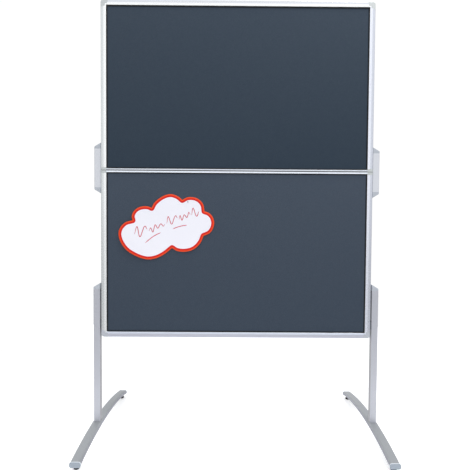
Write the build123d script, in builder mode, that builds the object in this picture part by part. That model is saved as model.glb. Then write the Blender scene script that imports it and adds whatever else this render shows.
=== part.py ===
from build123d import *
import os
from math import sqrt

# Folding double-sided felt pinboard between two side posts on arched T-feet.
# Millimetres, +Z up, floor at Z = 0, X = 0 on the board's centre line, Y = 0 at
# the middle of the feet. The front of the board looks towards -Y.

os.makedirs("parts", exist_ok=True)

# ---------------------------------------------------------------- board
BOARD_W = 1200.0            # outer width of both halves
HALF_H = 740.0              # outer height of one half
FOLD_Z = 1193.5             # height of the fold line
FOLD_GAP = 2.0              # gap between the halves, filled by the hinge leaves
BOARD_Y = -71.0             # middle plane of the board
T = 16.0                    # half of the frame's depth
FACE = 24.0                 # visible width of the outer rails
MID = 7.5                   # visible width of the rails at the fold
LIP = 4.8                   # thickness of the lips that hold the panel
SEAT = 18.2                 # where the panel seat starts, from the outer edge
BAND = 18.0                 # width of the outer band, which the corner caps cover
CORNER_OUT = 35.0           # reach of a corner cap along each rail, at the outer edge
CORNER_IN = 28.0            # the same at the inner edge of the band
CORNER_R = 13.0             # outer radius of a corner cap
MID_CAP_H = 12.0            # height of the small caps at the fold
PANEL_IN = 19.0             # panel edge, from the frame's outer edge
CORE_T = 16.0               # board core
FELT_T = 2.5                # felt on each face

# ---------------------------------------------------------------- posts and feet
POST_X = 621.0              # middle of post and foot
POST_W = 30.0               # along X
POST_D = 25.0               # along Y
POST_WALL = 2.0
POST_R_OUT = 4.0            # edge radius on the outer side
POST_R_IN = 2.0             # edge radius beside the board
POST_TOP = 666.0
CAP_LOW = 9.0               # sloped end cap, outer side
CAP_HIGH = 27.0             # sloped end cap, board side
SIDE_GAP = 6.0              # board side to post
FOOT_HALF = 339.0           # half length of a foot, caps included
FOOT_W = 42.0
FOOT_T = 20.0
FOOT_WALL = 2.5
FOOT_EDGE_R = 8.0
ARCH_TOP = 71.1             # top of the arch
TIP_TOP = 33.2              # top of the tips
END_CAP = 6.0               # thickness of a foot's end cap
GLIDE_Y = 318.0
ARCH_R = (FOOT_HALF**2 + (ARCH_TOP - TIP_TOP)**2) / (2 * (ARCH_TOP - TIP_TOP))
ARCH_Z = ARCH_TOP - ARCH_R

# ---------------------------------------------------------------- fold hinge and locks
PIN_Y = BOARD_Y + T + 4.0   # hinge axis, 4 mm behind the back face
PIN_R = 2.0
BARREL_R = 3.5
HINGE_X = (-420.0, 0.0, 420.0)
HINGE_L = 60.0
LEAF_T = 0.9
LOCK_HALF = 85.0            # half length of a lock's profile
LOCK_Z = {"left": 1203.0, "right": 1191.5}
LOCK_X = BOARD_W / 2 + 0.6 + POST_W / 2
CLAMP_Z = (510.0, 640.0)

# ---------------------------------------------------------------- card
CARD_Y = BOARD_Y - CORE_T / 2 - FELT_T    # front surface of the felt
CARD_T = 0.6
PIN_POS = ((-216.5, 1056.0),)

HALVES = (("lower", FOLD_Z - FOLD_GAP / 2 - HALF_H, 1), ("upper", FOLD_Z + FOLD_GAP / 2 + HALF_H, -1))
SIDES = (("left", -1), ("right", 1))


def rail_sketch(plane):
    """Section of an outer rail: T-slot outside, hollow chambers, panel seat inside.
    Local x runs inwards from the outer edge, local y across the depth."""
    with BuildSketch(plane) as s:
        with BuildLine():
            l1 = ThreePointArc((0, -T + 3), (0.879, -T + 0.879), (3, -T))
            l2 = Polyline((3, -T), (17.3, -T), (17.9, -T + 0.8), (18.5, -T), (22.4, -T))
            l3 = ThreePointArc((22.4, -T), (23.53, -T + 0.47), (24, -T + 1.6))
            l4 = Polyline((24, -T + 1.6), (24, -T + LIP), (SEAT, -T + LIP), (SEAT, T - LIP), (24, T - LIP), (24, T - 1.6))
            l5 = ThreePointArc((24, T - 1.6), (23.53, T - 0.47), (22.4, T))
            l6 = Polyline((22.4, T), (18.5, T), (17.9, T - 0.8), (17.3, T), (3, T))
            l7 = ThreePointArc((3, T), (0.879, T - 0.879), (0, T - 3))
            l8 = Polyline((0, T - 3), (0, 3), (2.5, 3), (2.5, 5.5), (7.5, 5.5), (7.5, -5.5), (2.5, -5.5), (2.5, -3), (0, -3), (0, -T + 3))
        make_face()
        with Locations((12.8, 0)):
            Rectangle(7.6, 28.4, mode=Mode.SUBTRACT)
        with Locations((4.6, 10.6), (4.6, -10.6)):
            Rectangle(5.2, 7.2, mode=Mode.SUBTRACT)
    return s.sketch


def mid_sketch(plane):
    """Section of the thin channel along the fold. Local x runs away from the fold."""
    with BuildSketch(plane) as s:
        with BuildLine():
            Polyline((0, -T + 0.8), (0.8, -T), (MID - 1.2, -T), (MID, -T + 1.2), (MID, -T + LIP), (2.3, -T + LIP), (2.3, T - LIP),
                     (MID, T - LIP), (MID, T - 1.2), (MID - 1.2, T), (0.8, T), (0, T - 0.8), close=True)
        make_face()
    return s.sketch


def profile_sketch(z, x, sx, w, d, r_out, r_in):
    """Rounded rectangle of the post and lock profile, softer on the side away from the board."""
    with BuildSketch(Plane.XY.offset(z)) as s:
        with Locations((x, BOARD_Y)):
            Rectangle(w, d)
        fillet([v for v in s.vertices() if abs(v.X - x - sx * w / 2) < 0.01], radius=r_out)
        fillet([v for v in s.vertices() if abs(v.X - x + sx * w / 2) < 0.01], radius=r_in)
    return s.sketch


# ================================================================ both halves of the board
for half, z0, s in HALVES:
    # z0 is the outer edge of this half, and s points from it towards the fold
    outer_name = "bottom" if half == "lower" else "top"
    fold_edge = z0 + s * HALF_H

    # long rail away from the fold
    with BuildPart() as long_rail:
        extrude(rail_sketch(Plane(origin=(-BOARD_W / 2 + BAND, BOARD_Y, z0), x_dir=(0, 0, s), z_dir=(1, 0, 0))),
                amount=BOARD_W - 2 * BAND)
        # ends: slanted where the corner caps start, and mitred at the lips
        with BuildSketch(Plane(origin=(0, BOARD_Y + T + 1, z0), x_dir=(1, 0, 0), z_dir=(0, -1, 0))):
            for sx in (-1, 1):
                with BuildLine():
                    Polyline(*[(sx * (BOARD_W / 2 - a), s * b) for a, b in (
                        (-1, -1), (CORNER_OUT, -1), (CORNER_OUT, 0), (CORNER_IN, BAND), (BAND, BAND), (FACE + 1, FACE + 1), (-1, FACE + 1))], close=True)
                make_face()
        extrude(amount=2 * T + 2, mode=Mode.SUBTRACT)
        # screw holes through the back wall, into the corner tenons
        with Locations(*[Location((x, BOARD_Y + T, z0 + s * 12.8), (90, 0, 0)) for x in (-560, 560)]):
            Cylinder(2.15, 8, mode=Mode.SUBTRACT)
    long_rail.part.label = f"{half}_{outer_name}_rail"
    export_step(long_rail.part, f"parts/{half}_{outer_name}_rail.step")

    # side rails, from the corner cap to the cap at the fold
    for side, sx in SIDES:
        zl = z0 + s * BAND
        zh = fold_edge - s * MID_CAP_H
        with BuildPart() as side_rail:
            extrude(rail_sketch(Plane(origin=(sx * BOARD_W / 2, BOARD_Y, min(zl, zh)), x_dir=(-sx, 0, 0), z_dir=(0, 0, 1))),
                    amount=abs(zh - zl))
            with BuildSketch(Plane(origin=(0, BOARD_Y + T + 1, z0), x_dir=(1, 0, 0), z_dir=(0, -1, 0))):
                with BuildLine():
                    Polyline(*[(sx * (BOARD_W / 2 - a), s * b) for a, b in (
                        (-1, -1), (FACE + 1, -1), (FACE + 1, FACE + 1), (BAND, BAND), (BAND, CORNER_IN), (0, CORNER_OUT), (-1, CORNER_OUT))], close=True)
                make_face()
            extrude(amount=2 * T + 2, mode=Mode.SUBTRACT)
            with Locations(Location((sx * (BOARD_W / 2 - 12.8), BOARD_Y + T, z0 + s * 40), (90, 0, 0)),
                           Location((sx * (BOARD_W / 2 - 12.8), BOARD_Y + T, fold_edge - s * 24), (90, 0, 0))):
                Cylinder(2.15, 8, mode=Mode.SUBTRACT)
        side_rail.part.label = f"{half}_{side}_rail"
        export_step(side_rail.part, f"parts/{half}_{side}_rail.step")

    # thin channel along the fold, with its hinge rivet holes
    with BuildPart() as mid_rail:
        extrude(mid_sketch(Plane(origin=(-BOARD_W / 2 + FACE, BOARD_Y, fold_edge), x_dir=(0, 0, -s), z_dir=(1, 0, 0))),
                amount=BOARD_W - 2 * FACE)
        with Locations(*[(x + dx, BOARD_Y + 4, fold_edge - s * 1.15) for x in HINGE_X for dx in (-22, 0, 22)]):
            Cylinder(1.55, 6, mode=Mode.SUBTRACT)
    mid_rail.part.label = f"{half}_mid_rail"
    export_step(mid_rail.part, f"parts/{half}_mid_rail.step")

    # moulded corners with a tenon into each rail
    with BuildPart() as corner_caps:
        with BuildSketch(Plane(origin=(-BOARD_W / 2, BOARD_Y + T, z0), x_dir=(1, 0, 0), z_dir=(0, -1, 0))):
            with BuildLine():
                Line((0, s * CORNER_OUT), (0, s * CORNER_R))
                ThreePointArc((0, s * CORNER_R), (CORNER_R * 0.2929, s * CORNER_R * 0.2929), (CORNER_R, 0))
                Polyline((CORNER_R, 0), (CORNER_OUT, 0), (CORNER_IN, s * BAND), (BAND, s * BAND), (BAND, s * CORNER_IN), (0, s * CORNER_OUT))
            make_face()
        extrude(amount=2 * T)
        outer_edges = [e for e in corner_caps.edges()
                       if abs(abs(e.center().Y - BOARD_Y) - T) < 0.01
                       and (e.center().X + BOARD_W / 2 < 5 or s * (e.center().Z - z0) < 5)]
        fillet(outer_edges, radius=2.9)
        with Locations((-BOARD_W / 2 + 40, BOARD_Y, z0 + s * 12.8)):
            Box(28, 28.0, 7.2)
        with Locations((-BOARD_W / 2 + 12.8, BOARD_Y, z0 + s * 40)):
            Box(7.2, 28.0, 28)
        with Locations(Location((-560, BOARD_Y + T, z0 + s * 12.8), (90, 0, 0)),
                       Location((-BOARD_W / 2 + 12.8, BOARD_Y + T, z0 + s * 40), (90, 0, 0))):
            Cylinder(2.0, 32, mode=Mode.SUBTRACT)
        mirror(about=Plane.YZ)
    corner_caps.part.label = f"{half}_corner_caps"
    export_step(corner_caps.part, f"parts/{half}_corner_caps.step")

    # small caps that close the side rails at the fold
    with BuildPart() as mid_caps:
        with Locations((-BOARD_W / 2 + FACE / 2, BOARD_Y, fold_edge - s * MID_CAP_H / 2)):
            Box(FACE, 2 * T, MID_CAP_H)
        cap_edges = [e for e in mid_caps.edges() if abs(e.center().X + BOARD_W / 2) < 0.01 and abs(abs(e.center().Y - BOARD_Y) - T) < 0.01]
        fillet(cap_edges, radius=2.9)
        with Locations((-BOARD_W / 2 + SEAT + 10, BOARD_Y, fold_edge - s * (MID_CAP_H / 2 + 2.3))):
            Box(20, 2 * (T - LIP), MID_CAP_H, mode=Mode.SUBTRACT)
        with Locations((-BOARD_W / 2 + 12.8, BOARD_Y, fold_edge - s * (MID_CAP_H + 9))):
            Box(7.2, 28.0, 22)
        with Locations(Location((-BOARD_W / 2 + 12.8, BOARD_Y + T, fold_edge - s * 24), (90, 0, 0))):
            Cylinder(2.0, 32, mode=Mode.SUBTRACT)
        mirror(about=Plane.YZ)
    mid_caps.part.label = f"{half}_mid_caps"
    export_step(mid_caps.part, f"parts/{half}_mid_caps.step")

    # pan-head screws that hold the tenons, from the back
    with BuildPart() as corner_screws:
        spots = [(x, z) for x, z in ((-560, z0 + s * 12.8), (560, z0 + s * 12.8))]
        spots += [(sx * (BOARD_W / 2 - 12.8), z) for sx in (-1, 1) for z in (z0 + s * 40, fold_edge - s * 24)]
        with Locations(*[Location((x, BOARD_Y + T + 0.8, z), (90, 0, 0)) for x, z in spots]):
            Cylinder(3.6, 1.6)
        head_edges = corner_screws.edges().filter_by(GeomType.CIRCLE).group_by(Axis.Y)[-1]
        fillet(head_edges, radius=0.9)
        with Locations(*[Location((x, BOARD_Y + T - 6, z), (90, 0, 0)) for x, z in spots]):
            Cylinder(1.9, 12.2)
        # cross recess
        with Locations(*[(x, BOARD_Y + T + 1.4, z) for x, z in spots]):
            Box(3.6, 0.9, 0.8, mode=Mode.SUBTRACT)
            Box(0.8, 0.9, 3.6, mode=Mode.SUBTRACT)
    corner_screws.part.label = f"{half}_frame_screws"
    export_step(corner_screws.part, f"parts/{half}_frame_screws.step")

    # board core and the felt on both faces
    core_z = (z0 + s * PANEL_IN, fold_edge - s * 4.5)
    zc = (core_z[0] + core_z[1]) / 2
    zh = abs(core_z[1] - core_z[0])
    with BuildPart() as core:
        with Locations((0, BOARD_Y, zc)):
            Box(BOARD_W - 2 * PANEL_IN, CORE_T, zh)
        if half == "lower":
            with Locations(*[Location((x, BOARD_Y - CORE_T / 2, z), (90, 0, 0)) for x, z in PIN_POS]):
                Cylinder(0.8, 12, mode=Mode.SUBTRACT)
    core.part.label = f"{half}_core"
    export_step(core.part, f"parts/{half}_core.step")
    for face, sy in (("front", -1), ("back", 1)):
        with BuildPart() as felt:
            with Locations((0, BOARD_Y + sy * (CORE_T + FELT_T) / 2, zc)):
                Box(BOARD_W - 2 * PANEL_IN, FELT_T, zh)
            if half == "lower" and face == "front":
                with Locations(*[Location((x, BOARD_Y - CORE_T / 2, z), (90, 0, 0)) for x, z in PIN_POS]):
                    Cylinder(0.8, 12, mode=Mode.SUBTRACT)
        felt.part.label = f"{half}_{face}_felt"
        export_step(felt.part, f"parts/{half}_{face}_felt.step")

    # ------------------------------------------------------------ hinge leaves of this half
    # lower leaves carry the two outer barrels of each hinge, upper leaves the middle one
    barrels = ((-22.6, 14.8), (22.6, 14.8)) if half == "lower" else ((0.0, 29.6),)
    leaf_z = fold_edge + s * LEAF_T / 2
    with BuildPart() as leaves:
        for x in HINGE_X:
            with Locations((x, BOARD_Y + 3.4, leaf_z)):
                Box(HINGE_L, 24.8, LEAF_T)
            for bx, bl in barrels:
                with Locations((x + bx, (PIN_Y + BOARD_Y + 15.8) / 2, leaf_z)):
                    Box(bl, PIN_Y - BOARD_Y - 15.8, LEAF_T)
                with Locations(Location((x + bx, PIN_Y, FOLD_Z), (0, 90, 0))):
                    Cylinder(BARREL_R, bl)
            with Locations(Location((x, PIN_Y, FOLD_Z), (0, 90, 0))):
                Cylinder(PIN_R + (0.0 if half == "lower" else 0.06), HINGE_L + 2, mode=Mode.SUBTRACT)
            with Locations(*[(x + dx, BOARD_Y + 4, leaf_z) for dx in (-22, 0, 22)]):
                Cylinder(1.55, 6, mode=Mode.SUBTRACT)
    leaves.part.label = f"hinge_{half}_leaves"
    export_step(leaves.part, f"parts/hinge_{half}_leaves.step")

    with BuildPart() as rivets:
        spots = [(x + dx, BOARD_Y + 4) for x in HINGE_X for dx in (-22, 0, 22)]
        with Locations(*[(x, y, fold_edge - s * 0.75) for x, y in spots]):
            Cylinder(1.5, 3.1)
        with Locations(*[(x, y, fold_edge - s * 2.8) for x, y in spots]):
            Cylinder(3.0, 1.0)
    rivets.part.label = f"hinge_{half}_rivets"
    export_step(rivets.part, f"parts/hinge_{half}_rivets.step")

# hinge pins, pressed in the lower barrels
with BuildPart() as hinge_pins:
    with Locations(*[Location((x, PIN_Y, FOLD_Z), (0, 90, 0)) for x in HINGE_X]):
        Cylinder(PIN_R, HINGE_L)
    chamfer(hinge_pins.edges().filter_by(GeomType.CIRCLE), 0.3)
hinge_pins.part.label = "hinge_pins"
export_step(hinge_pins.part, "parts/hinge_pins.step")

# ================================================================ feet
feet_envelope = {}
for side, sx in SIDES:
    x = sx * POST_X
    with BuildPart() as envelope:
        with BuildSketch(Plane(origin=(x - FOOT_W / 2, 0, 0), x_dir=(0, 1, 0), z_dir=(1, 0, 0))):
            with BuildLine():
                y = FOOT_HALF - END_CAP
                zt = ARCH_Z + sqrt(ARCH_R**2 - y * y)
                ri = ARCH_R - FOOT_T
                zb = ARCH_Z + sqrt(ri**2 - y * y)
                ThreePointArc((-y, zt), (0, ARCH_TOP), (y, zt))
                Line((y, zt), (y, zb))
                ThreePointArc((y, zb), (0, ARCH_TOP - FOOT_T), (-y, zb))
                Line((-y, zb), (-y, zt))
            make_face()
        extrude(amount=FOOT_W)
        fillet([e for e in envelope.edges() if e.length > 300], radius=FOOT_EDGE_R)
    feet_envelope[side] = envelope.part

    with BuildPart() as inner:
        with BuildSketch(Plane(origin=(x - FOOT_W / 2 + FOOT_WALL, 0, 0), x_dir=(0, 1, 0), z_dir=(1, 0, 0))):
            with BuildLine():
                y = FOOT_HALF - END_CAP + 1
                rt = ARCH_R - FOOT_WALL
                ri = ARCH_R - FOOT_T + FOOT_WALL
                zt = ARCH_Z + sqrt(rt**2 - y * y)
                zb = ARCH_Z + sqrt(ri**2 - y * y)
                ThreePointArc((-y, zt), (0, ARCH_TOP - FOOT_WALL), (y, zt))
                Line((y, zt), (y, zb))
                ThreePointArc((y, zb), (0, ARCH_TOP - FOOT_T + FOOT_WALL), (-y, zb))
                Line((-y, zb), (-y, zt))
            make_face()
        extrude(amount=FOOT_W - 2 * FOOT_WALL)
        fillet([e for e in inner.edges() if e.length > 300], radius=FOOT_EDGE_R - FOOT_WALL)

    with BuildPart() as foot:
        add(envelope.part)
        add(inner.part, mode=Mode.SUBTRACT)
        with Locations((x, BOARD_Y, ARCH_TOP)):
            Cylinder(4.4, 20, mode=Mode.SUBTRACT)
        with Locations((x, BOARD_Y, ARCH_TOP - FOOT_T)):
            Cylinder(8.0, 14, mode=Mode.SUBTRACT)
        with Locations((x, -GLIDE_Y, 20), (x, GLIDE_Y, 20)):
            Cylinder(6.6, 14, mode=Mode.SUBTRACT)
    foot.part.label = f"{side}_foot"
    export_step(foot.part, f"parts/{side}_foot.step")

# moulded end caps: a rounded flange and a plug in the tube
tip_z = ARCH_Z + sqrt(ARCH_R**2 - FOOT_HALF**2) - FOOT_T / 2 + 0.6
with BuildPart() as foot_end_caps:
    for sx in (-1, 1):
        for sy in (-1, 1):
            with BuildSketch(Plane(origin=(sx * POST_X, sy * (FOOT_HALF - END_CAP), tip_z), x_dir=(1, 0, 0), z_dir=(0, sy, 0))):
                RectangleRounded(FOOT_W + 3.6, FOOT_T + 2.4, 9.5)
            extrude(amount=END_CAP)
            with BuildSketch(Plane(origin=(sx * POST_X, sy * (FOOT_HALF - END_CAP), tip_z + 0.3), x_dir=(1, 0, 0), z_dir=(0, -sy, 0))):
                RectangleRounded(FOOT_W - 2 * FOOT_WALL - 1.4, FOOT_T - 2 * FOOT_WALL - 3.4, 4.0)
            extrude(amount=7.0)
    fillet(foot_end_caps.edges().group_by(Axis.Y)[0] + foot_end_caps.edges().group_by(Axis.Y)[-1], radius=2.6)
foot_end_caps.part.label = "foot_end_caps"
export_step(foot_end_caps.part, "parts/foot_end_caps.step")

# ================================================================ posts
for side, sx in SIDES:
    x = sx * POST_X
    with BuildPart() as post:
        extrude(profile_sketch(60, x, sx, POST_W, POST_D, POST_R_OUT, POST_R_IN), amount=POST_TOP - 60)
        extrude(profile_sketch(60, x, sx, POST_W - 2 * POST_WALL, POST_D - 2 * POST_WALL, POST_R_OUT - POST_WALL, 0.5),
                amount=POST_TOP - 60, mode=Mode.SUBTRACT)
        add(feet_envelope[side], mode=Mode.SUBTRACT)
        for z in CLAMP_Z:
            # screw hole in the wall beside the board, driver hole in the outer wall
            with Locations(Location((x - sx * POST_W / 2, BOARD_Y, z), (0, 90, 0))):
                Cylinder(2.8, 12, mode=Mode.SUBTRACT)
            with Locations(Location((x + sx * POST_W / 2, BOARD_Y, z), (0, 90, 0))):
                Cylinder(6.0, 12, mode=Mode.SUBTRACT)
    post.part.label = f"{side}_post"
    export_step(post.part, f"parts/{side}_post.step")


def sloped_cap(x, zb, up, sx):
    """Cap on the end of a 30 x 25 profile, high beside the board and low outside, with its plug."""
    with BuildPart() as cap:
        with BuildSketch(Plane(origin=(x, BOARD_Y + POST_D / 2, zb), x_dir=(1, 0, 0), z_dir=(0, -1, 0))):
            with BuildLine():
                Polyline((-sx * POST_W / 2, 0), (sx * POST_W / 2, 0), (sx * POST_W / 2, up * CAP_LOW),
                         (-sx * POST_W / 2, up * CAP_HIGH), close=True)
            make_face()
        extrude(amount=POST_D)
        fillet([e for e in cap.edges().filter_by(Axis.Z) if sx * (e.center().X - x) > 0], radius=POST_R_OUT)
        fillet([e for e in cap.edges().filter_by(Axis.Z) if sx * (e.center().X - x) < -POST_W / 2 + 0.1], radius=POST_R_IN)
        slope = [f for f in cap.faces() if 0.5 < abs(f.normal_at().Z) < 0.97 and f.area > 400]
        chamfer(slope[0].edges(), length=1.6)
        extrude(profile_sketch(zb - (8 if up > 0 else 0), x, sx, POST_W - 2 * POST_WALL - 0.3, POST_D - 2 * POST_WALL - 0.3,
                               POST_R_OUT - POST_WALL, 0.6), amount=8)
    return cap.part


with BuildPart() as post_top_caps:
    for side, sx in SIDES:
        add(sloped_cap(sx * POST_X, POST_TOP, 1, sx))
post_top_caps.part.label = "post_top_caps"
export_step(post_top_caps.part, "parts/post_top_caps.step")

# threaded plugs in the post bottoms
with BuildPart() as post_base_plugs:
    for side, sx in SIDES:
        extrude(profile_sketch(65, sx * POST_X, sx, POST_W - 2 * POST_WALL - 0.3, POST_D - 2 * POST_WALL - 0.3,
                               POST_R_OUT - POST_WALL, 0.6), amount=50)
        add(feet_envelope[side], mode=Mode.SUBTRACT)
        with Locations((sx * POST_X, BOARD_Y, 90)):
            Cylinder(4.0, 60, mode=Mode.SUBTRACT)
post_base_plugs.part.label = "post_base_plugs"
export_step(post_base_plugs.part, "parts/post_base_plugs.step")

# bolts up through the feet
with BuildPart() as foot_bolts:
    for sx in (-1, 1):
        with Locations((sx * POST_X, BOARD_Y, 63.9)):
            Cylinder(6.5, 5.0)
        with Locations((sx * POST_X, BOARD_Y, 84)):
            Cylinder(3.95, 36)
        with BuildSketch(Plane(origin=(sx * POST_X, BOARD_Y, 61.4), z_dir=(0, 0, 1))):
            RegularPolygon(radius=3.4, side_count=6)
        extrude(amount=3.0, mode=Mode.SUBTRACT)
foot_bolts.part.label = "foot_bolts"
export_step(foot_bolts.part, "parts/foot_bolts.step")

# blocks between post and board
with BuildPart() as post_spacers:
    with Locations(*[(sx * (BOARD_W / 2 + SIDE_GAP / 2), BOARD_Y, z) for sx in (-1, 1) for z in CLAMP_Z]):
        Box(SIDE_GAP, 20, 34)
    chamfer(post_spacers.edges().filter_by(Axis.X), 1.0)
    with Locations(*[Location((sx * (BOARD_W / 2 + SIDE_GAP / 2), BOARD_Y, z), (0, 90, 0)) for sx in (-1, 1) for z in CLAMP_Z]):
        Cylinder(2.8, 20, mode=Mode.SUBTRACT)
post_spacers.part.label = "post_spacers"
export_step(post_spacers.part, "parts/post_spacers.step")

# T-nuts in the slots of the lower side rails
with BuildPart() as frame_t_nuts:
    with Locations(*[(sx * (BOARD_W / 2 - 4.7), BOARD_Y, z) for sx in (-1, 1) for z in CLAMP_Z]):
        Box(4.0, 10.4, 22)
    with Locations(*[(sx * (BOARD_W / 2 - 1.6), BOARD_Y, z) for sx in (-1, 1) for z in CLAMP_Z]):
        Box(2.6, 5.6, 22)
    with Locations(*[Location((sx * (BOARD_W / 2 - 4.7), BOARD_Y, z), (0, 90, 0)) for sx in (-1, 1) for z in CLAMP_Z]):
        Cylinder(2.5, 20, mode=Mode.SUBTRACT)
frame_t_nuts.part.label = "frame_t_nuts"
export_step(frame_t_nuts.part, "parts/frame_t_nuts.step")

with BuildPart() as post_clamp_screws:
    for sx in (-1, 1):
        for z in CLAMP_Z:
            xw = POST_X - POST_W / 2 + POST_WALL          # inside of the post's wall
            with Locations(Location((sx * (xw + 2.0), BOARD_Y, z), (0, 90, 0))):
                Cylinder(4.6, 4.0)
            with Locations(Location((sx * (xw - 6.0), BOARD_Y, z), (0, 90, 0))):
                Cylinder(2.45, 13.0)
            with BuildSketch(Plane(origin=(sx * (xw + 4.0), BOARD_Y, z), x_dir=(0, 1, 0), z_dir=(sx, 0, 0))):
                RegularPolygon(radius=2.3, side_count=6)
            extrude(amount=-2.4, mode=Mode.SUBTRACT)
post_clamp_screws.part.label = "post_clamp_screws"
export_step(post_clamp_screws.part, "parts/post_clamp_screws.step")

# plugs that close the driver holes
with BuildPart() as post_hole_plugs:
    for sx in (-1, 1):
        for z in CLAMP_Z:
            with Locations(Location((sx * (POST_X + POST_W / 2 + 0.6), BOARD_Y, z), (0, 90, 0))):
                Cylinder(7.6, 1.2)
            with Locations(Location((sx * (POST_X + POST_W / 2 - 2.0), BOARD_Y, z), (0, 90, 0))):
                Cylinder(5.9, 4.0)
    fillet(post_hole_plugs.edges().filter_by(GeomType.CIRCLE).group_by(Axis.X)[0]
           + post_hole_plugs.edges().filter_by(GeomType.CIRCLE).group_by(Axis.X)[-1], radius=0.7)
post_hole_plugs.part.label = "post_hole_plugs"
export_step(post_hole_plugs.part, "parts/post_hole_plugs.step")

# threaded inserts for the glides
with BuildPart() as glide_inserts:
    for sx in (-1, 1):
        for sy in (-1, 1):
            with Locations((sx * POST_X, sy * GLIDE_Y, 22.9)):
                Cylinder(6.5, 17.2)
                Cylinder(4.05, 30, mode=Mode.SUBTRACT)
glide_inserts.part.label = "glide_inserts"
export_step(glide_inserts.part, "parts/glide_inserts.step")

# ================================================================ levelling glides
for fb, sy in (("front", -1), ("back", 1)):
    for side, sx in SIDES:
        gx, gy = sx * POST_X, sy * GLIDE_Y
        with BuildPart() as stud:
            with Locations((gx, gy, 19.0)):
                Cylinder(4.0, 26.0)
            chamfer(stud.edges().group_by(Axis.Z)[-1], 0.6)
            with BuildSketch(Plane(origin=(gx, gy, 9.5), z_dir=(0, 0, 1))):
                RegularPolygon(radius=7.5, side_count=6)
            extrude(amount=3.8)
        stud.part.label = f"{fb}_{side}_glide_stud"
        export_step(stud.part, f"parts/{fb}_{side}_glide_stud.step")
        with BuildPart() as pad:
            with BuildSketch(Plane(origin=(gx, gy, 0), x_dir=(1, 0, 0), z_dir=(0, -1, 0))):
                with BuildLine():
                    Polyline((0, 0), (10.4, 0), (11.6, 1.2), (11.6, 4.4), (9.4, 8.2), (8.2, 9.5), (4.0, 9.5), (4.0, 6.0), (0, 6.0), close=True)
                make_face()
            revolve(axis=Axis((gx, gy, 0), (0, 0, 1)))
        pad.part.label = f"{fb}_{side}_glide_pad"
        export_step(pad.part, f"parts/{fb}_{side}_glide_pad.step")

# ================================================================ sliding locks over the fold
for side, sx in SIDES:
    zc = LOCK_Z[side]
    x = sx * LOCK_X
    xi = sx * (LOCK_X - POST_W / 2)                       # side next to the board
    slider_z = (zc - LOCK_HALF + 14, FOLD_Z - FOLD_GAP / 2 - MID_CAP_H - 3)
    sz = (slider_z[0] + slider_z[1]) / 2
    sl = slider_z[1] - slider_z[0]
    holes = (sz - 17, sz + 17)
    with BuildPart() as lock:
        extrude(profile_sketch(zc - LOCK_HALF, x, sx, POST_W, POST_D, POST_R_OUT, POST_R_IN), amount=2 * LOCK_HALF)
        extrude(profile_sketch(zc - LOCK_HALF, x, sx, POST_W - 2 * POST_WALL, POST_D - 2 * POST_WALL, POST_R_OUT - POST_WALL, 0.5),
                amount=2 * LOCK_HALF, mode=Mode.SUBTRACT)
        with Locations(*[Location((xi, BOARD_Y, z), (0, 90, 0)) for z in holes]):
            Cylinder(2.1, 12, mode=Mode.SUBTRACT)
    lock.part.label = f"{side}_lock_body"
    export_step(lock.part, f"parts/{side}_lock_body.step")

    with BuildPart() as lock_caps:
        add(sloped_cap(x, zc + LOCK_HALF, 1, sx))
        add(sloped_cap(x, zc - LOCK_HALF, -1, sx))
    lock_caps.part.label = f"{side}_lock_caps"
    export_step(lock_caps.part, f"parts/{side}_lock_caps.step")

    # T-shaped runner in the slot of the lower side rail
    with BuildPart() as slider:
        with Locations((sx * (BOARD_W / 2 + 0.6 - 1.75), BOARD_Y, sz)):
            Box(3.5, 5.2, sl)
        with Locations((sx * (BOARD_W / 2 - 4.8), BOARD_Y, sz)):
            Box(3.8, 10.2, sl)
        with Locations(*[Location((sx * (BOARD_W / 2 - 3), BOARD_Y, z), (0, 90, 0)) for z in holes]):
            Cylinder(1.9, 9, mode=Mode.SUBTRACT)
    slider.part.label = f"{side}_lock_slider"
    export_step(slider.part, f"parts/{side}_lock_slider.step")

    with BuildPart() as lock_screws:
        xw = LOCK_X - POST_W / 2 + POST_WALL
        for z in holes:
            with Locations(Location((sx * (xw + 1.1), BOARD_Y, z), (0, 90, 0))):
                Cylinder(3.6, 2.2)
            with Locations(Location((sx * (xw - 3.7), BOARD_Y, z), (0, 90, 0))):
                Cylinder(1.9, 7.6)
    lock_screws.part.label = f"{side}_lock_screws"
    export_step(lock_screws.part, f"parts/{side}_lock_screws.step")

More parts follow.
